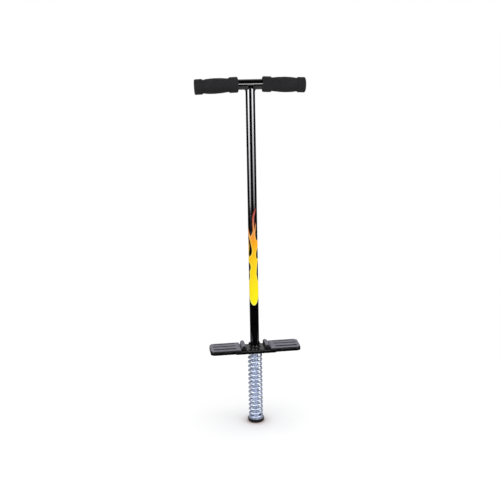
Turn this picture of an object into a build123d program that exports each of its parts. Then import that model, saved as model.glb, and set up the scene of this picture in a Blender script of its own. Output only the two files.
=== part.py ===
from build123d import *
import os
from math import cos, radians, sin

# Pogo stick for a child. Millimetres, +Z up, the front faces -Y.
# Origin: centre of the rubber foot's underside, on the ground.

# Upright tube and handlebar
TUBE_OD = 25.4
TUBE_WALL = 1.8
TUBE_BOTTOM_Z = 216.0
BAR_OD = 27.4
BAR_WALL = 1.6
BAR_Z = 961.0
BAR_DROOP = 2.05           # degrees that each end of the bar points down
BEND_X = 30.0              # where the level middle of the bar ends
BEND_RADIUS = 60.0
WELD_SIZE = 3.2

# Foam grips, as lengths along the bar and diameters
GRIP_LENGTH = 115.3
GRIP_GAP = 0.9             # from the end of the bend to the grip
INNER_COLLAR = (24.0, 41.6)
OUTER_COLLAR = (23.0, 41.0)
COLLAR_EDGE = 2.0
PALM_END_OD = 35.6
PALM_OD = 41.0
PLUG_HEAD = 3.0
PLUG_DEPTH = 18.0

# Footrest: a welded channel and two pedals that fold up on it
BRACKET_LENGTH = 120.0
BRACKET_DEPTH = 61.4
BRACKET_HEIGHT = 10.0
BRACKET_SHEET = 2.5
BRACKET_TOP_Z = 225.4
BRACKET_BEND = 4.0
PEDAL_END_X = 128.5
PEDAL_DEPTH = 68.0
PEDAL_SHEET = 1.2
PEDAL_SKIRT = 8.6
PEDAL_CORNER = 13.0
PEDAL_LIFT = 0.3           # air between the channel and the folding pedal
TREAD_THICKNESS = 3.5
TREAD_INSET = 0.8
GROOVE_DEPTH = 2.4
# Grooves: share of the tread's depth from its back edge, width, and distance from the outer end
GROOVES = ((0.13, 5.0, 12.0), (0.42, 7.0, 8.0), (0.77, 9.0, 8.0))

# Pedal hinges, with their pins along Y
HINGE_X = 33.0
EYE_OD = 11.0
EYE_LENGTH = 48.0
PIN_OD = 6.0
PIN_RUNNING_GAP = 0.08
LUG_THICKNESS = 2.3
LUG_GAP = 0.3
LUG_WIDTH = 11.6
KNOB_OD = 11.0
KNOB_LENGTH = 4.4
HOOD_THICKNESS = 1.7
HOOD_LENGTH = 44.0
HOOD_WRAP = 38.0           # degrees past the top of the hinge eye

# Spring and plunger
WIRE = 5.4
SPRING_OD = 41.5
ACTIVE_TURNS = 15
SEAT_THICKNESS = 2.0
SEAT_OD = 44.0
PLUNGER_OD = 19.0
PLUNGER_WALL = 1.6
PLUNGER_TOP_Z = 300.0
PISTON_HEAD = 14.0
RUNNING_GAP = 0.08
TRAVEL = 90.0
BOLT_Z = 236.0
BOLT_OD = 5.0
BOLT_HEAD_OD = 9.0
BOLT_HEAD_HEIGHT = 2.4
NUT_ACROSS_FLATS = 8.0
NUT_HEIGHT = 4.0
SLOT_WIDTH = 5.8
STOP_GAP = 0.3

# Rubber foot: a lip around the seat above a slightly narrower, tapering base
FOOT_OD = 47.0
FOOT_BASE_OD = 45.2
FOOT_STEP_OD = 45.8
FOOT_STEP_Z = 5.4
FOOT_EDGE = 3.4
FOOT_HEIGHT = 10.2
FOOT_SCREW_OD = 8.0
FOOT_SCREW_HEAD_OD = 15.0
FOOT_SCREW_HEAD_Z = (1.2, 4.7)     # underside and shoulder of the screw's head

# Flame decal
DECAL_BOTTOM_Z = 349.0
DECAL_TIP_Z = 629.0
DECAL_THICKNESS = 0.15

# Sizes that follow from the ones above
TUBE_ID = TUBE_OD - 2 * TUBE_WALL
TUBE_R = TUBE_OD / 2
BAR_R = BAR_OD / 2
PLUNGER_ID = PLUNGER_OD - 2 * PLUNGER_WALL
SPRING_BOTTOM_Z = FOOT_HEIGHT
SPRING_TOP_Z = BRACKET_TOP_Z - BRACKET_SHEET - SEAT_THICKNESS
SHEET_BOTTOM_Z = BRACKET_TOP_Z + PEDAL_LIFT
SHEET_TOP_Z = SHEET_BOTTOM_Z + PEDAL_SHEET
HINGE_Z = SHEET_BOTTOM_Z + EYE_OD / 2
LUG_Y = EYE_LENGTH / 2 + LUG_GAP
PEDAL_INNER_X = HINGE_X + 8.2
TREAD_INNER_X = HINGE_X + 9.8
TREAD_TOP_Z = SHEET_TOP_Z + TREAD_THICKNESS


def rod(diameter, z0, z1, x=0.0, y=0.0):
    """Solid round bar along Z between two heights."""
    return Pos(x, y, (z0 + z1) / 2) * Cylinder(diameter / 2, z1 - z0)


def pipe(outer, inner, z0, z1):
    """Round tube along Z between two heights."""
    return rod(outer, z0, z1) - rod(inner, z0, z1)


def rod_y(diameter, y0, y1, x=0.0, z=0.0):
    """Solid round bar along Y between two depths."""
    return Pos(x, (y0 + y1) / 2, z) * Rot(90, 0, 0) * Cylinder(diameter / 2, y1 - y0)


def block(x0, x1, y0, y1, z0, z1):
    """Box between two corners."""
    middle = Pos((x0 + x1) / 2, (y0 + y1) / 2, (z0 + z1) / 2)
    return middle * Box(x1 - x0, y1 - y0, z1 - z0)


def rod_x(diameter, x0, x1, z=0.0):
    """Solid round bar along X between two distances from the middle."""
    return Pos((x0 + x1) / 2, 0, z) * Rot(0, 90, 0) * Cylinder(diameter / 2, x1 - x0)


def hex_x(across_flats, x0, x1, z):
    """Hexagonal prism along X, for a bolt head or a nut."""
    profile = RegularPolygon(across_flats / 2, 6, major_radius=False)
    return Pos(x0, 0, z) * Rot(0, 90, 0) * extrude(profile, x1 - x0)


def turned(points):
    """Solid of revolution about Z from (radius, height) corners."""
    outline = make_face(Polyline([(r, 0, z) for r, z in points], close=True))
    return revolve(outline, Axis.Z)


# Upright tube, handlebar and their weld

def main_tube():
    """Upright tube, coped to the handlebar, with cross holes for the retaining bolt."""
    tube = pipe(TUBE_OD, TUBE_ID, TUBE_BOTTOM_Z, BAR_Z)
    return tube - bar_rod(BAR_OD) - rod_x(BOLT_OD, -TUBE_OD, TUBE_OD, BOLT_Z)


def arm_plane(distance):
    """Plane across the right arm of the bar, a distance beyond its bend, facing outward."""
    angle = radians(BAR_DROOP)
    x = BEND_X + BEND_RADIUS * sin(angle) + distance * cos(angle)
    z = BAR_Z - BEND_RADIUS * (1 - cos(angle)) - distance * sin(angle)
    return Plane(origin=(x, 0, z), x_dir=(0, 1, 0), z_dir=(cos(angle), 0, -sin(angle)))


def handlebar():
    """Bar with a level middle and two arms that droop slightly."""
    bend_end = arm_plane(0).origin
    tip = arm_plane(GRIP_GAP + GRIP_LENGTH - PLUG_HEAD).origin
    bend = TangentArc([(BEND_X, 0, BAR_Z), bend_end], tangent=(1, 0, 0))
    arm = Line(bend_end, tip)
    middle = Line((-BEND_X, 0, BAR_Z), (BEND_X, 0, BAR_Z))
    right = [bend, arm]
    left = [mirror(piece, about=Plane.YZ) for piece in right]
    path = Wire([edge for piece in left + [middle] + right for edge in piece.edges()])
    end_plane = Plane(origin=path @ 0, z_dir=path % 0)
    section = end_plane * (Circle(BAR_R) - Circle(BAR_R - BAR_WALL))
    return sweep(section, path=path)


def bar_rod(diameter):
    """Solid round bar along X at the handlebar's height."""
    return rod_x(diameter, -1.5 * TUBE_OD, 1.5 * TUBE_OD, BAR_Z)


def handlebar_weld():
    """Bead around the saddle where the upright tube meets the bar."""
    around_tube = rod(TUBE_OD + 2 * WELD_SIZE, BAR_Z - BAR_OD, BAR_Z - WELD_SIZE)
    bead = around_tube & bar_rod(BAR_OD + 2 * WELD_SIZE)
    return bead - bar_rod(BAR_OD) - rod(TUBE_OD, BAR_Z - BAR_OD, BAR_Z)


def collar_profile(length, diameter):
    """Collar of a grip as (radius, distance) points, from its flat end to where the palm starts."""
    r = diameter / 2
    return [(BAR_R, 0), (r - COLLAR_EDGE, 0), (r, COLLAR_EDGE), (r, length - COLLAR_EDGE),
            (PALM_END_OD / 2, length)]


def right_grip():
    """Foam grip: a collar at each end and a barrelled palm between them."""
    first = collar_profile(*INNER_COLLAR)
    last = [(r, GRIP_LENGTH - s) for r, s in reversed(collar_profile(*OUTER_COLLAR))]
    palm_r, palm_start = first[-1]
    palm_end = last[0][1]
    palm = ThreePointArc((palm_r, 0, palm_start), (PALM_OD / 2, 0, (palm_start + palm_end) / 2),
                         (palm_r, 0, palm_end))
    collars = [Polyline([(r, 0, s) for r, s in side]) for side in (first, last)]
    bore = Line((BAR_R, 0, GRIP_LENGTH), (BAR_R, 0, 0))
    outline = make_face([collars[0], palm, collars[1], bore])
    return arm_plane(GRIP_GAP).location * revolve(outline, Axis.Z)


def right_bar_plug():
    """Plastic plug that closes the end of the bar, flush with the grip."""
    head_start = GRIP_GAP + GRIP_LENGTH - PLUG_HEAD
    bore = BAR_OD - 2 * BAR_WALL
    spigot = rod(bore, -PLUG_DEPTH, 0) - rod(bore - 4, -PLUG_DEPTH, -2)
    return arm_plane(head_start).location * (rod(BAR_OD, 0, PLUG_HEAD) + spigot)


# Decal

def flame_decal():
    """Thin film on the tube: a rounded tail at the bottom and licking tongues at the top."""
    half = TUBE_R + 1
    tongue_x = [1.5, -4, 3, -2]
    height = DECAL_TIP_Z - DECAL_BOTTOM_Z
    tip = (tongue_x[0], DECAL_TIP_Z)
    right_side = Spline((half, DECAL_BOTTOM_Z + 0.45 * height), (4, DECAL_BOTTOM_Z + 0.72 * height),
                        (5, DECAL_BOTTOM_Z + 0.84 * height), tip)
    left_side = Spline(tip, (0, DECAL_BOTTOM_Z + 0.84 * height), (-3, DECAL_BOTTOM_Z + 0.7 * height),
                       (-half, DECAL_BOTTOM_Z + 0.5 * height))
    down = Line((-half, DECAL_BOTTOM_Z + 0.5 * height), (-half, DECAL_BOTTOM_Z + half))
    tail = ThreePointArc((-half, DECAL_BOTTOM_Z + half), (0, DECAL_BOTTOM_Z), (half, DECAL_BOTTOM_Z + half))
    up = Line((half, DECAL_BOTTOM_Z + half), (half, DECAL_BOTTOM_Z + 0.45 * height))
    outline = make_face([right_side, left_side, down, tail, up])
    stamp = Rot(90, 0, 0) * extrude(outline, TUBE_OD, both=True)
    film = pipe(TUBE_OD + 2 * DECAL_THICKNESS, TUBE_OD, DECAL_BOTTOM_Z, DECAL_TIP_Z)
    return film & stamp


# Footrest

def footrest_bracket():
    """Channel bent from sheet, open below, welded around the upright tube."""
    half_x = BRACKET_LENGTH / 2
    half_y = BRACKET_DEPTH / 2
    bottom = BRACKET_TOP_Z - BRACKET_HEIGHT
    outer = block(-half_x, half_x, -half_y, half_y, bottom, BRACKET_TOP_Z)
    outer = fillet(outer.edges().filter_by(Axis.X).group_by(Axis.Z)[-1], BRACKET_BEND)
    outer = fillet(outer.edges().filter_by(Axis.Y).group_by(Axis.Z)[0], BRACKET_HEIGHT - BRACKET_BEND)
    inner_y = half_y - BRACKET_SHEET
    inner = block(-half_x, half_x, -inner_y, inner_y, bottom, BRACKET_TOP_Z - BRACKET_SHEET)
    inner = fillet(inner.edges().filter_by(Axis.X).group_by(Axis.Z)[-1], BRACKET_BEND - BRACKET_SHEET)
    return outer - inner - rod(TUBE_OD, bottom, BRACKET_TOP_Z)


def footrest_weld():
    """Fillet weld between the channel's top and the tube."""
    toe = TUBE_R + 4.0
    throat = TUBE_R + 1.4
    return turned([(TUBE_R, BRACKET_TOP_Z), (toe, BRACKET_TOP_Z), (throat, BRACKET_TOP_Z + 1.4),
                   (TUBE_R, BRACKET_TOP_Z + 4.0)])


def right_hinge_lugs():
    """Two upright lugs on the channel that carry one hinge pin."""
    lugs = []
    for side in (-1, 1):
        near, far = sorted((side * LUG_Y, side * (LUG_Y + LUG_THICKNESS)))
        post = block(HINGE_X - LUG_WIDTH / 2, HINGE_X + LUG_WIDTH / 2, near, far, BRACKET_TOP_Z, HINGE_Z)
        lug = post + rod_y(LUG_WIDTH, near, far, HINGE_X, HINGE_Z)
        lugs.append(lug - rod_y(PIN_OD, near, far, HINGE_X, HINGE_Z))
    return Compound(children=lugs)


def right_hinge_pin():
    """Pin with a round knob at the back and a plain tip at the front."""
    lug_outside = LUG_Y + LUG_THICKNESS
    pin = rod_y(PIN_OD, -lug_outside - 2, lug_outside, HINGE_X, HINGE_Z)
    knob = rod_y(KNOB_OD, lug_outside, lug_outside + KNOB_LENGTH, HINGE_X, HINGE_Z)
    knob = fillet(knob.edges().sort_by(Axis.Y)[-1], 1.8)
    return pin + knob


def right_hinge_clip():
    """Push-on ring that keeps the pin in its lugs."""
    outside = -LUG_Y - LUG_THICKNESS
    ring = rod_y(PIN_OD + 4, outside - 0.9, outside, HINGE_X, HINGE_Z)
    return ring - rod_y(PIN_OD, outside - 0.9, outside, HINGE_X, HINGE_Z)


def pedal_blank(x0, half_depth, z0, z1, corner):
    """Plate with rounded outer corners, from an inner edge to the pedal's outer end."""
    inset = PEDAL_DEPTH / 2 - half_depth
    plate = block(x0, PEDAL_END_X - inset, -half_depth, half_depth, z0, z1)
    corners = plate.edges().filter_by(Axis.Z).group_by(Axis.X)[-1]
    return fillet(corners, corner)


def right_pedal():
    """Steel tray, open below, with its inner end rolled into a hinge eye."""
    half = PEDAL_DEPTH / 2
    bottom = SHEET_TOP_Z - PEDAL_SKIRT
    tray = pedal_blank(PEDAL_INNER_X, half, bottom, SHEET_TOP_Z, PEDAL_CORNER)
    tray = fillet(tray.faces().sort_by(Axis.Z)[-1].edges().sort_by(Axis.X)[1:], 1.0)
    tray -= pedal_blank(PEDAL_INNER_X, half - PEDAL_SHEET, bottom, SHEET_BOTTOM_Z, PEDAL_CORNER - PEDAL_SHEET)
    tongue = block(HINGE_X, PEDAL_INNER_X + 5, -EYE_LENGTH / 2, EYE_LENGTH / 2, SHEET_BOTTOM_Z, SHEET_TOP_Z)
    eye = rod_y(EYE_OD, -EYE_LENGTH / 2, EYE_LENGTH / 2, HINGE_X, HINGE_Z)
    bore = rod_y(PIN_OD + 2 * PIN_RUNNING_GAP, -EYE_LENGTH / 2, EYE_LENGTH / 2, HINGE_X, HINGE_Z)
    pedal = tray + tongue + eye - bore
    for x, y in tread_screw_places():
        pedal -= rod(3.0, SHEET_BOTTOM_Z, SHEET_TOP_Z, x, y)
    return pedal


def groove(y, width, x0, x1):
    """Long round-ended groove in the tread's top."""
    cutter = SlotOverall(x1 - x0, width)
    return Pos((x0 + x1) / 2, y, TREAD_TOP_Z - GROOVE_DEPTH) * extrude(cutter, 2 * GROOVE_DEPTH)


def hinge_hood():
    """Lip of the tread that rises from the link strip and covers the hinge eye."""
    inner = EYE_OD / 2 + 0.1
    outer = inner + HOOD_THICKNESS
    half = HOOD_LENGTH / 2
    ring = rod_y(2 * outer, -half, half) - rod_y(2 * inner, -half, half)
    reach = 2 * outer
    wrap = radians(90 + HOOD_WRAP)
    wedge = make_face(Polyline([(0, 0, 0), (reach, 0, 0), (reach, 0, reach), (0, 0, reach),
                                (reach * cos(wrap), 0, reach * sin(wrap))], close=True))
    hood = Pos(HINGE_X, 0, HINGE_Z) * (ring & extrude(wedge, half, both=True))
    web = block(HINGE_X + inner, HINGE_X + outer, -half, half, SHEET_TOP_Z, HINGE_Z)
    link = block(HINGE_X + inner, TREAD_INNER_X + 5, -half, half, SHEET_TOP_Z, SHEET_TOP_Z + 0.9)
    return hood + web + link


def right_tread():
    """Ribbed plastic tread with three long grooves and a lip over the hinge."""
    half = PEDAL_DEPTH / 2 - TREAD_INSET
    pad = pedal_blank(TREAD_INNER_X, half, SHEET_TOP_Z, TREAD_TOP_Z, PEDAL_CORNER - TREAD_INSET)
    pad = fillet(pad.faces().sort_by(Axis.Z)[-1].edges(), 0.9)
    for share, width, outer_gap in GROOVES:
        pad -= groove(half - share * 2 * half, width, TREAD_INNER_X + 12, PEDAL_END_X - outer_gap)
    tread = pad + hinge_hood()
    for x, y in tread_screw_places():
        tread -= rod(3.0, SHEET_TOP_Z, SHEET_TOP_Z + 2.0, x, y)
    return tread


def tread_screw_places():
    """Where the tread's screws stand, under its ridges."""
    return [(x, y) for x in (70.0, 112.0) for y in (-26.0, 15.0)]


def right_tread_screws():
    """Pan-head screws that hold the tread to the tray from below."""
    screws = []
    for x, y in tread_screw_places():
        head = fillet(rod(6.4, SHEET_BOTTOM_Z - 2.2, SHEET_BOTTOM_Z, x, y).edges().sort_by(Axis.Z)[0], 0.8)
        screws.append(head + rod(3.0, SHEET_BOTTOM_Z, SHEET_TOP_Z + 2.0, x, y))
    return Compound(children=screws)


# Spring, plunger and foot

def coil(turns, pitch, z0):
    """Stretch of round wire wound right-handed, starting above +X at a height."""
    radius = (SPRING_OD - WIRE) / 2
    path = Pos(0, 0, z0) * Helix(pitch=pitch, height=turns * pitch, radius=radius)
    section = Pos(radius, 0, z0) * Rot(90, 0, 0) * Circle(WIRE / 2)
    return sweep(section, path=path, is_frenet=True)


def spring():
    """Compression spring with closed and ground ends."""
    closed_pitch = 1.02 * WIRE
    start = SPRING_BOTTOM_Z + WIRE / 4
    end = SPRING_TOP_Z - WIRE / 4
    active_pitch = (end - start - 2 * closed_pitch) / ACTIVE_TURNS
    wire = coil(1, closed_pitch, start)
    wire += coil(ACTIVE_TURNS, active_pitch, start + closed_pitch)
    wire += coil(1, closed_pitch, end - closed_pitch)
    return wire & rod(2 * SPRING_OD, SPRING_BOTTOM_Z, SPRING_TOP_Z)


def upper_spring_seat():
    """Washer under the channel with a collar that centres the spring."""
    collar = SPRING_OD / 2 - WIRE - 0.5
    return turned([(TUBE_R, TUBE_BOTTOM_Z), (collar - 1, TUBE_BOTTOM_Z), (collar, TUBE_BOTTOM_Z + 1),
                   (collar, SPRING_TOP_Z), (SEAT_OD / 2, SPRING_TOP_Z),
                   (SEAT_OD / 2, SPRING_TOP_Z + SEAT_THICKNESS), (TUBE_R, SPRING_TOP_Z + SEAT_THICKNESS)])


def lower_spring_seat():
    """Steel disc welded to the plunger, recessed in the rubber foot."""
    return pipe(SEAT_OD - 1, PLUNGER_OD, FOOT_HEIGHT - SEAT_THICKNESS, FOOT_HEIGHT)


def plunger_tube():
    """Sliding tube with a long slot, from side to side, that runs over the retaining bolt."""
    tube = pipe(PLUNGER_OD, PLUNGER_ID, FOOT_HEIGHT - SEAT_THICKNESS, PLUNGER_TOP_Z)
    slot_top = BOLT_Z + BOLT_OD / 2 + STOP_GAP
    slot_bottom = BOLT_Z - TRAVEL - BOLT_OD / 2 - STOP_GAP
    profile = SlotOverall(slot_top - slot_bottom, SLOT_WIDTH)
    cutter = Pos(0, 0, (slot_top + slot_bottom) / 2) * Rot(0, 90, 0) * extrude(profile, PLUNGER_OD, both=True)
    return tube - cutter


def piston_bush():
    """Plastic head on the plunger that slides in the upright tube."""
    head_r = TUBE_ID / 2 - RUNNING_GAP
    top = PLUNGER_TOP_Z + PISTON_HEAD
    return turned([(0, PLUNGER_TOP_Z - 16), (PLUNGER_ID / 2, PLUNGER_TOP_Z - 16),
                   (PLUNGER_ID / 2, PLUNGER_TOP_Z), (head_r, PLUNGER_TOP_Z), (head_r, top - 1.5),
                   (head_r - 1.5, top), (0, top)])


def guide_bush():
    """Flanged plastic bush pressed into the lower end of the upright tube."""
    bore = PLUNGER_OD / 2 + RUNNING_GAP
    flange_z = TUBE_BOTTOM_Z - 2.5
    return turned([(bore, flange_z), (TUBE_R - 0.2, flange_z), (TUBE_R - 0.2, TUBE_BOTTOM_Z),
                   (TUBE_ID / 2, TUBE_BOTTOM_Z), (TUBE_ID / 2, TUBE_BOTTOM_Z + 15),
                   (bore, TUBE_BOTTOM_Z + 15)])


def retaining_bolt():
    """Cross bolt that stops the plunger from leaving the tube."""
    head_side = TUBE_R + BOLT_HEAD_HEIGHT
    head = fillet(rod_x(BOLT_HEAD_OD, TUBE_R, head_side, BOLT_Z).edges().sort_by(Axis.X)[-1], BOLT_HEAD_HEIGHT / 2)
    return head + rod_x(BOLT_OD, -TUBE_R - NUT_HEIGHT - 1, TUBE_R, BOLT_Z)


def retaining_nut():
    """Lock nut on the cross bolt's end."""
    nut = hex_x(NUT_ACROSS_FLATS, -TUBE_R - NUT_HEIGHT, -TUBE_R, BOLT_Z)
    return nut - rod_x(BOLT_OD, -TUBE_R - NUT_HEIGHT, -TUBE_R, BOLT_Z)


def plunger_plug():
    """Threaded steel plug in the lower end of the plunger."""
    return pipe(PLUNGER_ID, FOOT_SCREW_OD, FOOT_HEIGHT - SEAT_THICKNESS, FOOT_HEIGHT + 18)


def rubber_foot():
    """Rubber puck with a lip around its top, a rounded lower edge and a pocket for its screw."""
    lip = FOOT_OD / 2
    step = FOOT_STEP_OD / 2
    base = FOOT_BASE_OD / 2
    middle = FOOT_EDGE * (1 - cos(radians(45)))
    floor = Line((0, 0, 0), (base - FOOT_EDGE, 0, 0))
    edge = ThreePointArc((base - FOOT_EDGE, 0, 0), (base - middle, 0, middle), (base, 0, FOOT_EDGE))
    side = Polyline((base, 0, FOOT_EDGE), (step, 0, FOOT_STEP_Z), (lip - 0.3, 0, FOOT_STEP_Z + 0.5),
                    (lip, 0, FOOT_STEP_Z + 1.2), (lip, 0, FOOT_HEIGHT - 1), (lip - 1, 0, FOOT_HEIGHT),
                    (0, 0, FOOT_HEIGHT), (0, 0, 0))
    foot = revolve(make_face([floor, edge, side]), Axis.Z)
    foot -= rod(SEAT_OD - 1, FOOT_HEIGHT - SEAT_THICKNESS, FOOT_HEIGHT)
    foot -= rod(FOOT_SCREW_OD, 0, FOOT_HEIGHT)
    return foot - rod(FOOT_SCREW_HEAD_OD, 0, FOOT_SCREW_HEAD_Z[1])


def foot_screw():
    """Screw that clamps the foot to the plunger, its head sunk in the sole."""
    low, high = FOOT_SCREW_HEAD_Z
    socket = extrude(Pos(0, 0, low) * RegularPolygon(3.0, 6), 2.2)
    head = rod(FOOT_SCREW_HEAD_OD, low, high) - socket
    return head + rod(FOOT_SCREW_OD, high, FOOT_HEIGHT + 14)


def build():
    """Every node's name and solid."""
    nodes = {
        "main_tube": main_tube(),
        "handlebar": handlebar(),
        "handlebar_weld": handlebar_weld(),
        "flame_decal": flame_decal(),
        "footrest_bracket": footrest_bracket(),
        "footrest_weld": footrest_weld(),
        "upper_spring_seat": upper_spring_seat(),
        "guide_bush": guide_bush(),
        "retaining_bolt": retaining_bolt(),
        "retaining_nut": retaining_nut(),
        "spring": spring(),
        "plunger_tube": plunger_tube(),
        "piston_bush": piston_bush(),
        "plunger_plug": plunger_plug(),
        "lower_spring_seat": lower_spring_seat(),
        "rubber_foot": rubber_foot(),
        "foot_screw": foot_screw(),
    }
    paired = {
        "grip": right_grip(),
        "bar_plug": right_bar_plug(),
        "hinge_lugs": right_hinge_lugs(),
        "hinge_pin": right_hinge_pin(),
        "hinge_clip": right_hinge_clip(),
        "pedal": right_pedal(),
        "tread": right_tread(),
        "tread_screws": right_tread_screws(),
    }
    for name, shape in paired.items():
        nodes["right_" + name] = shape
        nodes["left_" + name] = mirror(shape, about=Plane.YZ)
    return nodes


os.makedirs("parts", exist_ok=True)
for name, shape in build().items():
    export_step(shape, f"parts/{name}.step")
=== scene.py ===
import math

import bmesh
import bpy
from mathutils import Matrix, Vector, noise


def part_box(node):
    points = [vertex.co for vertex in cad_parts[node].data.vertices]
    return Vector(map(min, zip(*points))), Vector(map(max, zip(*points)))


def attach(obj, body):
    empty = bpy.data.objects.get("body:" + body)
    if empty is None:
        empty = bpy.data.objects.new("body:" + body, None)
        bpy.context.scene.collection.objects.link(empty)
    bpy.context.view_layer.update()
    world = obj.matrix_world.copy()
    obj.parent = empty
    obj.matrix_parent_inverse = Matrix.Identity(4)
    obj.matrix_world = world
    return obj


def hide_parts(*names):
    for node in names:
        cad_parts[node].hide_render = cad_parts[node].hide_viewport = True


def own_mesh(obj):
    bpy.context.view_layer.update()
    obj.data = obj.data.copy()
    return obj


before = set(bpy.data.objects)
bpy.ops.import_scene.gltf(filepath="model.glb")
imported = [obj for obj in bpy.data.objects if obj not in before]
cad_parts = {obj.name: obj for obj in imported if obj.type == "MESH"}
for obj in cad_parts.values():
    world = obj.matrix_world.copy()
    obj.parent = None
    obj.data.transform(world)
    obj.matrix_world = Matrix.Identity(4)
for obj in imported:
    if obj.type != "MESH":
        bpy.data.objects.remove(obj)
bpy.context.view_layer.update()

MM = 0.001

# Sizes that the new pieces share with the CAD model, in millimetres
TUBE_R = 12.7
BAR_R = 13.7
BAR_Z = 961.0
BAR_DROOP = math.radians(2.05)
BEND_X = 30.0
BEND_RADIUS = 60.0
GRIP_GAP = 0.9
GRIP_LENGTH = 115.3
WIRE = 5.4
SPRING_OD = 41.5
ACTIVE_TURNS = 15
TREAD_TOP_Z = 230.4
GROOVE_SHADE_DEPTH = 2.5
FOOT_HEIGHT = 10.2
DECAL_LOW_Z = 349.0
DECAL_HIGH_Z = 629.0
SEAT_CLEARANCE = 0.08       # keeps the spring's lower end just off its seat at full travel

# The front of the object is seen from 8 degrees to its left
FACING = math.radians(-8)


# Small helpers

def add_object(name, mesh, material, slot, body, *nodes):
    """Links a mesh as a piece that rides on a body and stands for CAD nodes."""
    piece = bpy.data.objects.new(name, mesh)
    bpy.context.scene.collection.objects.link(piece)
    mesh.materials.clear()
    mesh.materials.append(material)
    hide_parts(*nodes)
    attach(piece, body)
    return piece


def mesh_from(name, points, faces):
    """Smooth mesh with outward normals from points in millimetres."""
    mesh = bpy.data.meshes.new(name)
    mesh.from_pydata([Vector(p) * MM for p in points], [], faces)
    work = bmesh.new()
    work.from_mesh(mesh)
    bmesh.ops.recalc_face_normals(work, faces=work.faces)
    work.to_mesh(mesh)
    work.free()
    for polygon in mesh.polygons:
        polygon.use_smooth = True
    return mesh


def ring_faces(rings, around):
    """Quads between consecutive closed rings of points."""
    faces = []
    for i in range(rings - 1):
        for j in range(around):
            k = (j + 1) % around
            faces.append((i * around + j, i * around + k, (i + 1) * around + k, (i + 1) * around + j))
    return faces


def closing_faces(rings, around):
    """Quads from the last ring of points back to the first."""
    last = (rings - 1) * around
    return [(last + j, last + (j + 1) % around, (j + 1) % around, j) for j in range(around)]


def catmull_rom(points, steps, closed=False):
    """Smooth curve through 2-D points, with a number of steps for each span."""
    count = len(points)
    spans = count if closed else count - 1
    curve = []
    for i in range(spans):
        if closed:
            a, b, c, d = (Vector(points[(i + k) % count]) for k in (-1, 0, 1, 2))
        else:
            a, b, c, d = (Vector(points[min(max(i + k, 0), count - 1)]) for k in (-1, 0, 1, 2))
        for step in range(steps):
            t = step / steps
            curve.append(0.5 * (2 * b + (c - a) * t + (2 * a - 5 * b + 4 * c - d) * t ** 2
                                + (3 * b - a - 3 * c + d) * t ** 3))
    if not closed:
        curve.append(Vector(points[-1]))
    return curve


# Materials

def new_material(name):
    """Empty node material: (material, node tree, Principled shader)."""
    material = bpy.data.materials.new(name)
    material.use_nodes = True
    tree = material.node_tree
    tree.nodes.clear()
    shader = tree.nodes.new("ShaderNodeBsdfPrincipled")
    output = tree.nodes.new("ShaderNodeOutputMaterial")
    tree.links.new(shader.outputs["BSDF"], output.inputs["Surface"])
    return material, tree, shader


def object_noise(tree, scale, detail=3.0, roughness=0.5, stretch=(1, 1, 1)):
    """Noise texture in object coordinates, stretched along the axes."""
    place = tree.nodes.new("ShaderNodeTexCoord")
    mapping = tree.nodes.new("ShaderNodeMapping")
    mapping.inputs["Scale"].default_value = stretch
    texture = tree.nodes.new("ShaderNodeTexNoise")
    texture.inputs["Scale"].default_value = scale
    texture.inputs["Detail"].default_value = detail
    texture.inputs["Roughness"].default_value = roughness
    tree.links.new(place.outputs["Object"], mapping.inputs["Vector"])
    tree.links.new(mapping.outputs["Vector"], texture.inputs["Vector"])
    return texture.outputs["Fac"]


def object_voronoi(tree, scale):
    """Distance to the nearest of many scattered points, in object coordinates."""
    place = tree.nodes.new("ShaderNodeTexCoord")
    texture = tree.nodes.new("ShaderNodeTexVoronoi")
    texture.inputs["Scale"].default_value = scale
    tree.links.new(place.outputs["Object"], texture.inputs["Vector"])
    return texture.outputs["Distance"]


def ramp(tree, source, stops):
    """Colour ramp through (position, colour or grey) stops."""
    node = tree.nodes.new("ShaderNodeValToRGB")
    elements = node.color_ramp.elements
    while len(elements) < len(stops):
        elements.new(0.5)
    for element, (position, value) in zip(elements, stops):
        element.position = position
        colour = (value,) * 3 if isinstance(value, (int, float)) else value
        element.color = (*colour, 1)
    tree.links.new(source, node.inputs["Fac"])
    return node.outputs["Color"]


def math_node(tree, operation, a, b):
    """Math node on two sockets or numbers."""
    node = tree.nodes.new("ShaderNodeMath")
    node.operation = operation
    for socket, value in zip(node.inputs, (a, b)):
        if isinstance(value, (int, float)):
            socket.default_value = value
        else:
            tree.links.new(value, socket)
    return node.outputs["Value"]


def mix_colours(tree, factor, a, b, mode="MIX"):
    """Mixes two colours, each a socket or a triple."""
    node = tree.nodes.new("ShaderNodeMix")
    node.data_type = "RGBA"
    node.blend_type = mode
    for socket, value in ((node.inputs["Factor"], factor), (node.inputs["A"], a), (node.inputs["B"], b)):
        if isinstance(value, (int, float)):
            socket.default_value = value
        elif isinstance(value, tuple):
            socket.default_value = (*value, 1)
        else:
            tree.links.new(value, socket)
    return node.outputs["Result"]


def bump(tree, shader, height, strength, distance):
    """Adds a bump to the shader, over any bump it already has. The distance is in metres."""
    node = tree.nodes.new("ShaderNodeBump")
    node.inputs["Strength"].default_value = strength
    node.inputs["Distance"].default_value = distance
    tree.links.new(height, node.inputs["Height"])
    before = shader.inputs["Normal"].links
    if before:
        tree.links.new(before[0].from_socket, node.inputs["Normal"])
    tree.links.new(node.outputs["Normal"], shader.inputs["Normal"])


def openness(tree, distance):
    """Share of nearby space that is open, 0 in tight corners and 1 on open faces."""
    node = tree.nodes.new("ShaderNodeAmbientOcclusion")
    node.samples = 8
    node.inputs["Distance"].default_value = distance
    return node.outputs["AO"]


def object_height(tree):
    """Height in metres above the ground, at rest."""
    place = tree.nodes.new("ShaderNodeTexCoord")
    parts = tree.nodes.new("ShaderNodeSeparateXYZ")
    tree.links.new(place.outputs["Object"], parts.inputs["Vector"])
    return parts.outputs["Z"]


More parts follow.
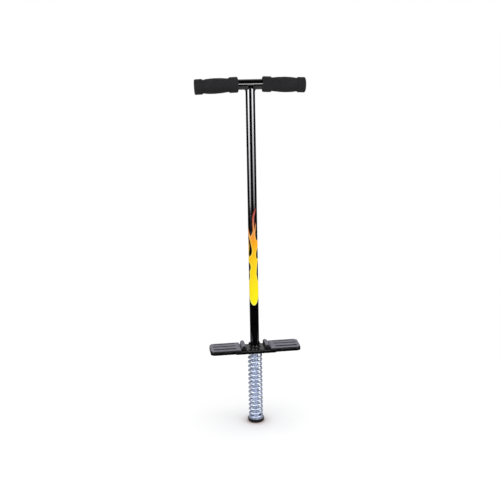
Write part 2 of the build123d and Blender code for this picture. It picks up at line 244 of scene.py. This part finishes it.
def rounded_edges(tree, shader, radius):
    """Makes sharp edges catch the light as if rounded to a radius in metres."""
    node = tree.nodes.new("ShaderNodeBevel")
    node.samples = 4
    node.inputs["Radius"].default_value = radius
    tree.links.new(node.outputs["Normal"], shader.inputs["Normal"])


def gloss_paint():
    """Gloss black paint: faint orange peel, patches of haze, dust specks and fine scuffs."""
    material, tree, shader = new_material("gloss_black_paint")
    shader.inputs["IOR"].default_value = 1.5
    shader.inputs["Specular IOR Level"].default_value = 1.0
    shader.inputs["Coat Weight"].default_value = 1.0
    shader.inputs["Coat Roughness"].default_value = 0.06
    haze = object_noise(tree, 22, 4)
    scuffs = object_noise(tree, 260, 2, stretch=(1, 1, 0.05))
    tree.links.new(ramp(tree, haze, [(0.3, (0.0012, 0.0012, 0.0016)), (0.7, (0.003, 0.003, 0.0036))]),
                   shader.inputs["Base Color"])
    smooth = ramp(tree, haze, [(0.35, 0.08), (0.68, 0.13)])
    worn = ramp(tree, scuffs, [(0.68, 0.0), (0.82, 0.05)])
    tree.links.new(math_node(tree, "ADD", smooth, worn), shader.inputs["Roughness"])
    bump(tree, shader, object_noise(tree, 140, 2), 0.02, 0.0001)
    bump(tree, shader, ramp(tree, object_voronoi(tree, 600), [(0.02, 1.0), (0.07, 0.0)]), 0.008, 0.0001)
    return material


def steel_paint():
    """Black paint on the pressed footrest: a little less gloss, with rubbed edges and dust."""
    material, tree, shader = new_material("footrest_black_paint")
    shader.inputs["IOR"].default_value = 1.5
    haze = object_noise(tree, 60, 5, 0.6)
    rubbed = object_noise(tree, 240, 3, stretch=(0.15, 1, 1))
    dust = ramp(tree, haze, [(0.42, (0.002, 0.002, 0.0024)), (0.75, (0.008, 0.008, 0.0095))])
    bare = ramp(tree, rubbed, [(0.7, 0.0), (0.82, 0.5)])
    tree.links.new(mix_colours(tree, bare, dust, (0.05, 0.05, 0.055)), shader.inputs["Base Color"])
    tree.links.new(ramp(tree, haze, [(0.3, 0.17), (0.75, 0.3)]), shader.inputs["Roughness"])
    rounded_edges(tree, shader, 0.0009)
    bump(tree, shader, object_noise(tree, 500, 3), 0.1, 0.0002)
    return material


def foam():
    """Closed-cell foam: fine pores, slow density changes, a rubbed sheen, and painted shade in the necks."""
    material, tree, shader = new_material("grip_foam")
    shader.inputs["Specular IOR Level"].default_value = 0.15
    shader.inputs["Sheen Weight"].default_value = 0.05
    shader.inputs["Sheen Roughness"].default_value = 0.5
    patches = object_noise(tree, 45, 5, 0.6)
    grain = object_noise(tree, 1400, 3, 0.6)
    pores = object_voronoi(tree, 900)
    base = ramp(tree, patches, [(0.3, (0.0075, 0.007, 0.0082)), (0.72, (0.0135, 0.013, 0.0146))])
    pits_and_neck_shade = ramp(tree, pores, [(0.05, 0.45), (0.3, 1.0)])
    # Painted shade: the necks and other tight spots are darkened in the colour.
    neck_shade = ramp(tree, openness(tree, 0.007), [(0.45, 0.15), (0.9, 1.0)])
    pits_and_neck_shade = mix_colours(tree, 1.0, pits_and_neck_shade, neck_shade, "MULTIPLY")
    tree.links.new(mix_colours(tree, 0.85, base, pits_and_neck_shade, "MULTIPLY"), shader.inputs["Base Color"])
    tree.links.new(ramp(tree, grain, [(0.3, 0.78), (0.7, 0.96)]), shader.inputs["Roughness"])
    bump(tree, shader, grain, 0.5, 0.0003)
    bump(tree, shader, ramp(tree, pores, [(0.0, 0.0), (0.35, 1.0)]), 0.35, 0.00025)
    bump(tree, shader, object_noise(tree, 120, 3), 0.3, 0.0008)
    return material


def zinc(name, tint, streaks):
    """Bright zinc plate: bluish, mottled, with fine drawing lines along one direction."""
    material, tree, shader = new_material(name)
    shader.inputs["Metallic"].default_value = 0.65
    mottle = object_noise(tree, 70, 5, 0.6)
    lines = object_noise(tree, 500, 3, stretch=streaks)
    dark = tuple(0.72 * c for c in tint)
    tree.links.new(ramp(tree, mottle, [(0.3, dark), (0.68, tint)]), shader.inputs["Base Color"])
    rough = math_node(tree, "ADD", ramp(tree, mottle, [(0.3, 0.38), (0.7, 0.5)]),
                      ramp(tree, lines, [(0.35, 0.0), (0.75, 0.1)]))
    tree.links.new(rough, shader.inputs["Roughness"])
    bump(tree, shader, lines, 0.15, 0.0001)
    return material


def dark_steel():
    """Blackened steel of pins, rings and bolt: uneven oxide with rubbed high spots."""
    material, tree, shader = new_material("blackened_steel")
    shader.inputs["Metallic"].default_value = 1.0
    oxide = object_noise(tree, 160, 5, 0.65)
    tree.links.new(ramp(tree, oxide, [(0.3, (0.03, 0.03, 0.034)), (0.62, (0.075, 0.075, 0.08)),
                                      (0.75, (0.2, 0.19, 0.18))]), shader.inputs["Base Color"])
    tree.links.new(ramp(tree, oxide, [(0.3, 0.5), (0.7, 0.32)]), shader.inputs["Roughness"])
    bump(tree, shader, object_noise(tree, 900, 3), 0.2, 0.0001)
    return material


def bolt_steel():
    """Plated screws: grey, turned marks and dull patches."""
    material, tree, shader = new_material("plated_screw_steel")
    shader.inputs["Metallic"].default_value = 1.0
    patches = object_noise(tree, 200, 4)
    tree.links.new(ramp(tree, patches, [(0.3, (0.28, 0.28, 0.3)), (0.7, (0.5, 0.5, 0.52))]),
                   shader.inputs["Base Color"])
    tree.links.new(ramp(tree, patches, [(0.3, 0.45), (0.7, 0.28)]), shader.inputs["Roughness"])
    bump(tree, shader, object_noise(tree, 1500, 2), 0.15, 0.0001)
    return material


def tread_plastic():
    """Moulded grey plastic: fine spark-eroded grain and walked-on ridges; the recesses between ridges are
    painted darker as shade.
    """
    material, tree, shader = new_material("tread_plastic")
    shader.inputs["Specular IOR Level"].default_value = 0.45
    patches = object_noise(tree, 40, 5, 0.6)
    grain = object_noise(tree, 1700, 2, 0.6)
    base = ramp(tree, patches, [(0.3, (0.13, 0.122, 0.158)), (0.7, (0.18, 0.17, 0.212))])
    # Painted shade: faces below the tread top turn darker with depth, as if in shadow.
    depth = math_node(tree, "SUBTRACT", TREAD_TOP_Z * MM, object_height(tree))
    below = math_node(tree, "DIVIDE", depth, GROOVE_SHADE_DEPTH * MM)
    groove_shade = ramp(tree, below, [(0.08, 0.0), (0.45, 0.95)])
    tree.links.new(mix_colours(tree, groove_shade, base, (0.012, 0.011, 0.015)), shader.inputs["Base Color"])
    tree.links.new(ramp(tree, grain, [(0.3, 0.32), (0.7, 0.46)]), shader.inputs["Roughness"])
    rounded_edges(tree, shader, 0.0008)
    bump(tree, shader, grain, 0.25, 0.00015)
    bump(tree, shader, object_noise(tree, 90, 3), 0.1, 0.0008)
    return material


def black_plastic():
    """Moulded black plastic of the bar plugs."""
    material, tree, shader = new_material("black_plastic")
    patches = object_noise(tree, 80, 4)
    grain = object_noise(tree, 1500, 2)
    tree.links.new(ramp(tree, patches, [(0.3, (0.012, 0.012, 0.013)), (0.7, (0.022, 0.022, 0.024))]),
                   shader.inputs["Base Color"])
    tree.links.new(ramp(tree, grain, [(0.3, 0.4), (0.7, 0.55)]), shader.inputs["Roughness"])
    bump(tree, shader, grain, 0.2, 0.00015)
    return material


def nylon():
    """Milky nylon of the bushes, with soft flow marks."""
    material, tree, shader = new_material("nylon")
    shader.inputs["Subsurface Weight"].default_value = 0.1
    shader.inputs["Subsurface Radius"].default_value = (0.002, 0.002, 0.0016)
    flow = object_noise(tree, 60, 3, stretch=(1, 1, 0.3))
    tree.links.new(ramp(tree, flow, [(0.3, (0.6, 0.59, 0.54)), (0.7, (0.74, 0.73, 0.69))]),
                   shader.inputs["Base Color"])
    tree.links.new(ramp(tree, flow, [(0.3, 0.35), (0.7, 0.5)]), shader.inputs["Roughness"])
    bump(tree, shader, object_noise(tree, 900, 2), 0.1, 0.0001)
    return material


def rubber():
    """Black rubber: fine grain, chalky bloom, and dust near the ground."""
    material, tree, shader = new_material("foot_rubber")
    shader.inputs["Specular IOR Level"].default_value = 0.25
    patches = object_noise(tree, 90, 5, 0.65)
    grain = object_noise(tree, 1100, 3, 0.6)
    scaled = math_node(tree, "DIVIDE", object_height(tree), FOOT_HEIGHT * MM)
    near_ground = ramp(tree, scaled, [(0.0, 1.0), (0.45, 0.25), (1.0, 0.0)])
    dusty = math_node(tree, "MULTIPLY", near_ground, ramp(tree, patches, [(0.35, 0.0), (0.75, 0.2)]))
    base = ramp(tree, patches, [(0.3, (0.004, 0.004, 0.0045)), (0.7, (0.009, 0.009, 0.0095))])
    tree.links.new(mix_colours(tree, dusty, base, (0.11, 0.095, 0.085)), shader.inputs["Base Color"])
    tree.links.new(ramp(tree, grain, [(0.3, 0.5), (0.7, 0.72)]), shader.inputs["Roughness"])
    bump(tree, shader, grain, 0.3, 0.0002)
    bump(tree, shader, object_noise(tree, 200, 3), 0.2, 0.0005)
    return material


def decal_film():
    """Printed film: flame colours by height, a paler rim, and dark red inside the tongues."""
    material, tree, shader = new_material("flame_print")
    shader.inputs["Specular IOR Level"].default_value = 0.3
    above_tail = math_node(tree, "SUBTRACT", object_height(tree), DECAL_LOW_Z * MM)
    height = math_node(tree, "DIVIDE", above_tail, (DECAL_HIGH_Z - DECAL_LOW_Z) * MM)
    streaks = object_noise(tree, 90, 3, stretch=(1, 1, 0.18))
    waver = math_node(tree, "MULTIPLY", math_node(tree, "SUBTRACT", streaks, 0.5), 0.12)
    wander = math_node(tree, "ADD", height, waver)
    body = ramp(tree, wander, [
        (0.1, (1.0, 0.86, 0.0)), (0.48, (0.98, 0.62, 0.0)), (0.66, (0.95, 0.38, 0.005)),
        (0.76, (0.88, 0.3, 0.06)), (0.88, (0.55, 0.085, 0.05)), (1.0, (0.3, 0.03, 0.025)),
    ])
    rim = ramp(tree, wander, [
        (0.1, (1.0, 0.98, 0.16)), (0.5, (1.0, 0.75, 0.06)), (0.72, (0.95, 0.5, 0.1)),
        (0.9, (0.62, 0.14, 0.1)), (1.0, (0.35, 0.05, 0.04)),
    ])
    inside = tree.nodes.new("ShaderNodeAttribute")
    inside.attribute_name = "inside"
    away = inside.outputs["Fac"]
    film = mix_colours(tree, ramp(tree, away, [(0.6, 0.0), (0.78, 1.0)]), rim, body)
    glow = ramp(tree, wander, [
        (0.0, (0.004, 0.003, 0.0)), (0.5, (0.03, 0.004, 0.0)), (0.9, (0.055, 0.001, 0.001)),
    ])
    margin = mix_colours(tree, ramp(tree, away, [(0.22, 0.0), (0.46, 1.0)]), (0.002, 0.002, 0.0022), glow)
    flame = ramp(tree, away, [(0.485, 0.0), (0.515, 1.0)])
    tree.links.new(mix_colours(tree, flame, margin, film), shader.inputs["Base Color"])
    tree.links.new(ramp(tree, streaks, [(0.3, 0.16), (0.7, 0.3)]), shader.inputs["Roughness"])
    bump(tree, shader, object_noise(tree, 700, 2), 0.06, 0.0001)
    return material


def floor_paint():
    """Matt white studio floor with a slight mottle, and a warm shadow painted in close to the stick."""
    material, tree, shader = new_material("studio_floor")
    patches = object_noise(tree, 2.5, 3)
    mottle = ramp(tree, patches, [(0.3, 0.95), (0.7, 0.975)])
    # Painted shadow: the floor is darker and warmer where the stick is near.
    painted_contact_shadow = ramp(tree, openness(tree, 0.055), [(0.45, (0.62, 0.47, 0.47)), (0.93, (1.0, 1.0, 1.0))])
    tree.links.new(mix_colours(tree, 1.0, mottle, painted_contact_shadow, "MULTIPLY"), shader.inputs["Base Color"])
    shader.inputs["Roughness"].default_value = 0.9
    shader.inputs["Specular IOR Level"].default_value = 0.1
    return material


paint = gloss_paint()
plate_paint = steel_paint()
grip_material = foam()
spring_zinc = zinc("spring_zinc", (0.6, 0.67, 0.82), (1, 1, 1))
tube_zinc = zinc("plunger_zinc", (0.7, 0.78, 0.96), (1, 1, 0.06))
seat_zinc = zinc("seat_zinc", (0.66, 0.7, 0.78), (1, 1, 1))
decal_material = decal_film()

node_materials = {
    "main_tube": paint, "handlebar": paint,
    "footrest_bracket": plate_paint, "footrest_weld": plate_paint,
    "left_hinge_lugs": plate_paint, "right_hinge_lugs": plate_paint,
    "left_pedal": plate_paint, "right_pedal": plate_paint,
    "upper_spring_seat": seat_zinc, "lower_spring_seat": seat_zinc,
    "plunger_tube": tube_zinc, "plunger_plug": seat_zinc,
    "rubber_foot": rubber(),
}
for nodes, made in (
    (("left_tread", "right_tread"), tread_plastic()),
    (("left_bar_plug", "right_bar_plug"), black_plastic()),
    (("left_hinge_pin", "right_hinge_pin", "left_hinge_clip", "right_hinge_clip",
      "retaining_bolt", "retaining_nut"), dark_steel()),
    (("foot_screw", "left_tread_screws", "right_tread_screws"), bolt_steel()),
    (("guide_bush", "piston_bush"), nylon()),
):
    for node in nodes:
        node_materials[node] = made
for node, material in node_materials.items():
    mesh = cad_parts[node].data
    mesh.materials.clear()
    mesh.materials.append(material)


# Grips

def arm_matrix(side, distance):
    """Placement, in metres, whose Z runs outward along one arm of the bar. Side is 1 or -1."""
    x = BEND_X + BEND_RADIUS * math.sin(BAR_DROOP) + distance * math.cos(BAR_DROOP)
    z = BAR_Z - BEND_RADIUS * (1 - math.cos(BAR_DROOP)) - distance * math.sin(BAR_DROOP)
    turn = Matrix.Rotation(side * (math.pi / 2 + BAR_DROOP), 4, "Y")
    return Matrix.Translation(Vector((side * x, 0, z)) * MM) @ turn


def grip_profile():
    """Smooth outline of a grip as (distance, radius), from its inner end to its outer end."""
    inner_collar = [(0, 17.9), (0.25, 19.3), (1.2, 20.4), (3, 20.75), (12, 20.8), (20.5, 20.7), (22.2, 20.2)]
    inner_neck = [(23.5, 19.0), (25, 18.2), (27, 18.1)]
    palm = [(34, 18.9), (44, 19.8), (56, 20.35), (66, 20.4), (77, 19.9), (84, 19.2), (89, 18.4)]
    outer_neck = [(91, 17.95), (92.6, 18.1), (93.8, 19.0)]
    outer_collar = [(95, 19.9), (97, 20.35), (104, 20.45), (111.5, 20.4), (113.6, 20.0), (114.8, 19.0),
                    (GRIP_LENGTH, 17.7)]
    return inner_collar + inner_neck + palm + outer_neck + outer_collar


def grip_mesh(side):
    """Foam tube with soft lumps, turned about the bar."""
    around = 160
    outline = catmull_rom(grip_profile(), 6)
    closed = [(0, BAR_R + 0.05)] + [tuple(p) for p in outline] + [(GRIP_LENGTH, BAR_R + 0.05)]
    place = arm_matrix(side, GRIP_GAP)
    points = []
    for s, r in closed:
        for j in range(around):
            angle = 2 * math.pi * j / around
            spot = Vector((r * math.cos(angle), r * math.sin(angle), s))
            lump = noise.noise(spot * 0.09 + Vector((side * 40, 0, 0))) * 0.22
            lump += noise.noise(spot * 0.35 + Vector((0, side * 30, 0))) * 0.07
            outside = min(1.0, max(0.0, (r - 16) / 3))
            grown = r + (lump - 0.12) * outside
            local = Vector((grown * math.cos(angle), grown * math.sin(angle), s)) * MM
            points.append((place @ local) / MM)
    faces = ring_faces(len(closed), around) + closing_faces(len(closed), around)
    return mesh_from("grip", points, faces)


for side, name in ((-1, "left"), (1, "right")):
    grip = add_object(f"{name}_foam_grip", grip_mesh(side), grip_material, "grip_foam", "frame",
                      f"{name}_grip")


# Spring

def spring_mesh():
    """Round wire coil with eased closed ends that are ground flat."""
    low, high = (corner.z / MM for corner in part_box("spring"))
    radius = (SPRING_OD - WIRE) / 2
    closed_pitch = 1.02 * WIRE
    start = low + WIRE / 4
    end = high - WIRE / 4
    turns = ACTIVE_TURNS + 2
    active_pitch = (end - start - 2 * closed_pitch) / ACTIVE_TURNS
    steps_per_turn = 72
    around = 20

    def height(turn):
        if turn < 1:
            return start + closed_pitch * turn
        if turn > turns - 1:
            return end - closed_pitch * (turns - turn)
        return start + closed_pitch + active_pitch * (turn - 1)

    rings = turns * steps_per_turn + 1
    points = []
    for i in range(rings):
        turn = i / steps_per_turn
        ease = 0.12
        z = sum(height(min(max(turn + k * ease, 0), turns)) for k in (-1, 0, 1)) / 3
        angle = 2 * math.pi * turn
        slope = active_pitch / (2 * math.pi * radius)
        outward = Vector((math.cos(angle), math.sin(angle), 0))
        along = Vector((-math.sin(angle), math.cos(angle), slope)).normalized()
        upward = along.cross(outward) * -1
        for j in range(around):
            spin = 2 * math.pi * j / around
            p = outward * (radius + WIRE / 2 * math.cos(spin)) + upward * (WIRE / 2 * math.sin(spin))
            p.z = min(max(p.z + z, low + SEAT_CLEARANCE), high)
            points.append(p)
    faces = ring_faces(rings, around)
    faces.append(tuple(range(around)))
    faces.append(tuple((rings - 1) * around + j for j in range(around)))
    return mesh_from("spring", points, faces)


coil = add_object("coil_spring", spring_mesh(), spring_zinc, "zinc_steel", "frame", "spring")
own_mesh(coil)


# Welds

def weld_mesh(toe_on_tube, toe_on_bar, ripple, ripples):
    """Fillet bead along the saddle between tube and bar."""
    around = 192
    across = 10
    points = []
    for j in range(around):
        angle = 2 * math.pi * j / around
        spot = Vector((math.cos(angle), math.sin(angle), 0)) * 3
        wave = ripple * math.sin(ripples * angle) + 0.35 * noise.noise(spot)
        for i in range(across):
            t = i / (across - 1)
            out = TUBE_R + toe_on_bar * t ** 1.6
            sink = toe_on_tube * (1 - t) ** 1.6
            bulge = math.sin(math.pi * t) * (0.55 + wave)
            r = out + 0.6 * bulge - 0.05
            y = r * math.sin(angle)
            rise = math.sqrt(max(BAR_R ** 2 - min(abs(y), BAR_R) ** 2, 0.0))
            z = BAR_Z - rise - sink - 0.5 * bulge + 0.1
            points.append((r * math.cos(angle), y, z))
    bead = [points[j * across + i] for i in range(across) for j in range(around)]
    inner = [(x * (TUBE_R - 0.3) / math.hypot(x, y), y * (TUBE_R - 0.3) / math.hypot(x, y), z + 0.5)
             for x, y, z in bead[-around:]]
    faces = ring_faces(across + 1, around) + closing_faces(across + 1, around)
    return mesh_from("bar_weld", bead + inner, faces)


add_object("bar_weld", weld_mesh(5.0, 3.1, 0.16, 26), paint, "black_paint", "frame", "handlebar_weld")


def foot_weld_mesh():
    """Rippled bead around the foot of the upright tube."""
    around = 192
    profile = [(0.0, 3.9), (0.5, 3.4), (1.0, 2.7), (1.5, 2.1), (2.1, 1.5), (2.8, 1.0), (3.4, 0.5), (3.9, 0.0)]
    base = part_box("footrest_weld")[0].z / MM
    points = []
    for out, up in profile + [(0.0, 0.0)]:
        for j in range(around):
            angle = 2 * math.pi * j / around
            middle = math.sin(math.pi * min(out / 3.9, 1)) if up > 0 else 0
            spot = Vector((math.cos(angle), math.sin(angle), 2)) * 3
            wave = middle * (0.16 * math.sin(24 * angle) + 0.25 * noise.noise(spot))
            r = TUBE_R + out + wave
            points.append((r * math.cos(angle), r * math.sin(angle), base + max(up + wave, 0)))
    faces = ring_faces(len(profile) + 1, around) + closing_faces(len(profile) + 1, around)
    return mesh_from("foot_weld", points, faces)


add_object("bracket_weld", foot_weld_mesh(), plate_paint, "black_paint", "frame", "footrest_weld")


# Flame decal. Outlines are (distance around the tube, height) in millimetres, seen from the
# front: distance 0 faces the viewer and grows to the viewer's right. What the front shows at
# its two edges runs on around the tube, and the back mirrors the front.

FILM_R = TUBE_R + 0.12
FILM_MARGIN = 3.6          # dark print around the flames
HALF_FRONT = math.pi * TUBE_R / 2

flame_outline = [
    # rounded tail
    (-27, 392), (-20.5, 384), (-16.1, 377), (-13.5, 368.5), (-8.9, 360), (-4.3, 354.6), (0.6, 352.6),
    (4.8, 354.6), (9.0, 360), (13.1, 368.5), (17.6, 376.5), (21, 384), (27, 392),
    # right side, up to the narrow bridge and over the two dark wedges
    (27, 414), (20, 418.5), (13.8, 424), (11.6, 431), (9.2, 443), (10.2, 456), (12.2, 471), (15.6, 480),
    (20, 483.5), (27, 484.5), (27, 487.5), (20, 487.5), (14.5, 486.2), (10.4, 488), (8.4, 495), (9.0, 502),
    (11.4, 511), (16.4, 517), (21, 520), (27, 522), (27, 535), (20, 537.5), (13, 538.5), (9.0, 543.5),
    (7.2, 553), (7.2, 564), (9.0, 573), (9.6, 580), (8.9, 588), (8.7, 588),
    # between the small tongue and the main one
    (7.7, 580), (6.7, 571.5), (5.6, 568), (4.7, 575), (3.9, 584), (3.8, 594), (4.3, 603), (5.9, 612),
    (8.4, 621), (10.0, 629), (9.8, 629),
    # down the main tongue's left side, through the deep notch
    (5.6, 622.5), (1.9, 614), (0.1, 604), (-0.4, 593), (-0.2, 581), (0.3, 570), (-1.2, 561.5), (-6.2, 551.5),
    (-9.6, 556), (-12.2, 563), (-15.0, 571), (-20, 581), (-27, 590),
    # left side, over the dark wedge
    (-27, 481), (-20, 479.5), (-14, 475.6), (-9.3, 470.5), (-7.7, 463.5), (-8.9, 456), (-12.4, 449),
    (-11.3, 440),
    (-12, 431), (-14.4, 424.5), (-20, 420.5), (-27, 418),
]
teardrop = [
    (-15.6, 553), (-12.0, 547.5), (-7.8, 536), (-4.5, 522), (-3.0, 511), (-4.4, 501.5), (-9.4, 493.6),
    (-14.0, 495), (-14.6, 503), (-12.2, 514), (-12.2, 525), (-14.4, 536), (-16.6, 546),
]


def signed_distance(spot, loops):
    """Distance from a spot to the nearest loop, positive inside the first loop and outside the others."""
    nearest = 1e9
    crossings = 0
    x, y = spot
    for loop in loops:
        count = len(loop)
        for i in range(count):
            ax, ay = loop[i]
            bx, by = loop[(i + 1) % count]
            if (ay > y) != (by > y) and x < ax + (y - ay) * (bx - ax) / (by - ay):
                crossings += 1
            if min(ay, by) - 8 < y < max(ay, by) + 8:
                dx, dy = bx - ax, by - ay
                length = dx * dx + dy * dy
                t = min(max(((x - ax) * dx + (y - ay) * dy) / length, 0), 1) if length else 0
                nearest = min(nearest, math.hypot(x - ax - t * dx, y - ay - t * dy))
    return nearest if crossings % 2 else -nearest


def decal_mesh():
    """Film around the tube with the distance to the flames' outline as a point attribute."""
    loops = [[tuple(p) for p in catmull_rom(points, 5, closed=True)] for points in (flame_outline, teardrop)]
    low, high = 349.5, 631.0
    columns, rows = 120, 352
    facing = Vector((math.sin(FACING), -math.cos(FACING), 0))
    sideways = Vector((math.cos(FACING), math.sin(FACING), 0))
    distances = {}
    for i in range(rows):
        z = low + (high - low) * i / (rows - 1)
        for j in range(columns // 2 + 1):
            # one column for each distance from the left edge of the front to the right one
            u = -HALF_FRONT + 2 * HALF_FRONT * j / (columns // 2)
            distances[i, j] = signed_distance((u, z), loops)
    points = []
    values = []
    for i in range(rows):
        z = low + (high - low) * i / (rows - 1)
        for k in range(columns):
            j = k if k <= columns // 2 else columns - k
            angle = -math.pi / 2 + 2 * math.pi * k / columns
            direction = facing * math.cos(angle) + sideways * math.sin(angle)
            value = distances[i, j]
            r = FILM_R if value > -FILM_MARGIN + 0.4 else TUBE_R - 0.05
            points.append((direction.x * r, direction.y * r, z))
            values.append(value)
    faces = [f for f in ring_faces(rows, columns) if max(values[v] for v in f) > -FILM_MARGIN]
    used = sorted({v for f in faces for v in f})
    index = {v: n for n, v in enumerate(used)}
    mesh = mesh_from("flame", [points[v] for v in used], [tuple(index[v] for v in f) for f in faces])
    attribute = mesh.attributes.new("inside", "FLOAT", "POINT")
    attribute.data.foreach_set("value", [0.5 + values[v] / 12 for v in used])
    return mesh


add_object("flame_film", decal_mesh(), decal_material, "decal_film", "frame", "flame_decal")


# Floor

floor_mesh = bpy.data.meshes.new("floor")
floor_work = bmesh.new()
bmesh.ops.create_circle(floor_work, cap_ends=True, segments=96, radius=0.95)
floor_work.to_mesh(floor_mesh)
floor_work.free()
floor_mesh.materials.append(floor_paint())
floor = bpy.data.objects.new("floor", floor_mesh)
bpy.context.scene.collection.objects.link(floor)
floor.location = (0, 0, -0.0002)
floor.visible_glossy = False


# Camera, at the front and a little to the left

CAMERA_DISTANCE = 2.1675
CAMERA_HEIGHT = 1.0131
CAMERA_PITCH = 0.22816
CAMERA_ROLL = -0.01882
CAMERA_PAN = -0.00392

forward = Vector((math.sin(CAMERA_PAN) * math.cos(CAMERA_PITCH),
                  math.cos(CAMERA_PAN) * math.cos(CAMERA_PITCH),
                  -math.sin(CAMERA_PITCH)))
level_right = Vector((math.cos(CAMERA_PAN), -math.sin(CAMERA_PAN), 0))
level_up = level_right.cross(forward)
right = math.cos(CAMERA_ROLL) * level_right + math.sin(CAMERA_ROLL) * level_up
up = -math.sin(CAMERA_ROLL) * level_right + math.cos(CAMERA_ROLL) * level_up
around_z = Matrix.Rotation(FACING, 3, "Z")
turn = around_z @ Matrix((right, up, -forward)).transposed()
camera_data = bpy.data.cameras.new("camera")
camera_data.sensor_width = 36
camera_data.lens = 57.6
camera = bpy.data.objects.new("camera", camera_data)
bpy.context.scene.collection.objects.link(camera)
camera.matrix_world = (Matrix.Translation(around_z @ Vector((0, -CAMERA_DISTANCE, CAMERA_HEIGHT)))
                       @ turn.to_4x4())
bpy.context.scene.camera = camera


# Studio light. Azimuths are seen from the object, from the camera's direction towards the right.

def panel(name, azimuth, distance, height, width, tall, strength, colour,
          lower=1.0, diffuse=True, glossy=True):
    """Soft panel that faces the stick, and dims towards its lower edge to a share of its strength."""
    mesh = bpy.data.meshes.new(name)
    half_w, half_t = width / 2, tall / 2
    mesh.from_pydata([(-half_w, -half_t, 0), (half_w, -half_t, 0), (half_w, half_t, 0), (-half_w, half_t, 0)],
                     [], [(0, 1, 2, 3)])
    material = bpy.data.materials.new(name)
    material.use_nodes = True
    tree = material.node_tree
    tree.nodes.clear()
    glow = tree.nodes.new("ShaderNodeEmission")
    output = tree.nodes.new("ShaderNodeOutputMaterial")
    tree.links.new(glow.outputs["Emission"], output.inputs["Surface"])
    place = tree.nodes.new("ShaderNodeTexCoord")
    parts = tree.nodes.new("ShaderNodeSeparateXYZ")
    tree.links.new(place.outputs["Object"], parts.inputs["Vector"])
    level = math_node(tree, "ADD", math_node(tree, "DIVIDE", parts.outputs["Y"], tall), 0.5)
    fade = ramp(tree, level, [(0.0, lower), (0.55, 1.0)])
    tree.links.new(math_node(tree, "MULTIPLY", fade, strength), glow.inputs["Strength"])
    glow.inputs["Color"].default_value = (*colour, 1)
    mesh.materials.append(material)
    lamp = bpy.data.objects.new(name, mesh)
    bpy.context.scene.collection.objects.link(lamp)
    angle = FACING + math.radians(azimuth)
    lamp.location = (distance * math.sin(angle), -distance * math.cos(angle), height)
    aim = Vector((0, 0, min(height, 0.6))) - lamp.location
    lamp.rotation_mode = "QUATERNION"
    lamp.rotation_quaternion = aim.to_track_quat("Z", "Y")
    lamp.visible_camera = False
    lamp.visible_diffuse = diffuse
    lamp.visible_glossy = glossy
    lamp.visible_shadow = False


def overhead(size, height, power):
    """Large soft light above the stick, too soft to leave a highlight."""
    data = bpy.data.lights.new("overhead", "AREA")
    data.shape = "DISK"
    data.size = size
    data.energy = power
    lamp = bpy.data.objects.new("overhead", data)
    bpy.context.scene.collection.objects.link(lamp)
    lamp.location = (0, 0, height)
    lamp.visible_glossy = False


WHITE = (1, 1, 1)
panel("left_softbox", -47, 2.0, 1.05, 1.3, 1.66, 11.5, (0.985, 0.975, 1.0), lower=0.25, diffuse=False)
panel("right_softbox", 49.5, 2.0, 1.05, 1.3, 1.66, 10.0, (0.97, 0.97, 1.0), lower=0.15, diffuse=False)
panel("front_softbox", 10, 2.6, 1.42, 2.0, 0.75, 4.0, WHITE, diffuse=False)
panel("right_key", 75, 2.2, 1.3, 1.4, 1.4, 2.0, WHITE, glossy=False)
overhead(4.0, 5.0, 34)

world = bpy.data.worlds.new("studio")
bpy.context.scene.world = world
world.use_nodes = True
world_tree = world.node_tree
world_tree.nodes.clear()
sky = world_tree.nodes.new("ShaderNodeBackground")
world_output = world_tree.nodes.new("ShaderNodeOutputWorld")
world_tree.links.new(sky.outputs["Background"], world_output.inputs["Surface"])
rays = world_tree.nodes.new("ShaderNodeLightPath")
look = world_tree.nodes.new("ShaderNodeTexCoord")
behind = world_tree.nodes.new("ShaderNodeVectorMath")
behind.operation = "DOT_PRODUCT"
behind.inputs[1].default_value = (math.sin(-FACING), math.cos(-FACING), 0)
world_tree.links.new(look.outputs["Generated"], behind.inputs[0])
heading = world_tree.nodes.new("ShaderNodeSeparateXYZ")
world_tree.links.new(look.outputs["Generated"], heading.inputs["Vector"])
# Reflections see a pale backdrop above the floor behind the stick, faint ground close to it, and a dim
# room in front
backdrop = ramp(world_tree, behind.outputs["Value"], [(0.15, 0.01), (0.75, 0.6)])
above = ramp(world_tree, heading.outputs["Z"], [(0.02, 0.12), (0.16, 1.0)])
backdrop = mix_colours(world_tree, 1.0, backdrop, above, "MULTIPLY")
downward = math_node(world_tree, "MULTIPLY", heading.outputs["Z"], -1)
ground = ramp(world_tree, downward, [(0.45, 0.0), (0.62, 0.3)])
surroundings = mix_colours(world_tree, 1.0, backdrop, ground, "LIGHTEN")
soft = mix_colours(world_tree, rays.outputs["Is Diffuse Ray"], surroundings, (0.98, 0.98, 0.985))
seen = mix_colours(world_tree, rays.outputs["Is Camera Ray"], soft, (1.0, 1.0, 1.0))
world_tree.links.new(seen, sky.inputs["Color"])

bpy.context.scene.view_settings.view_transform = "Standard"
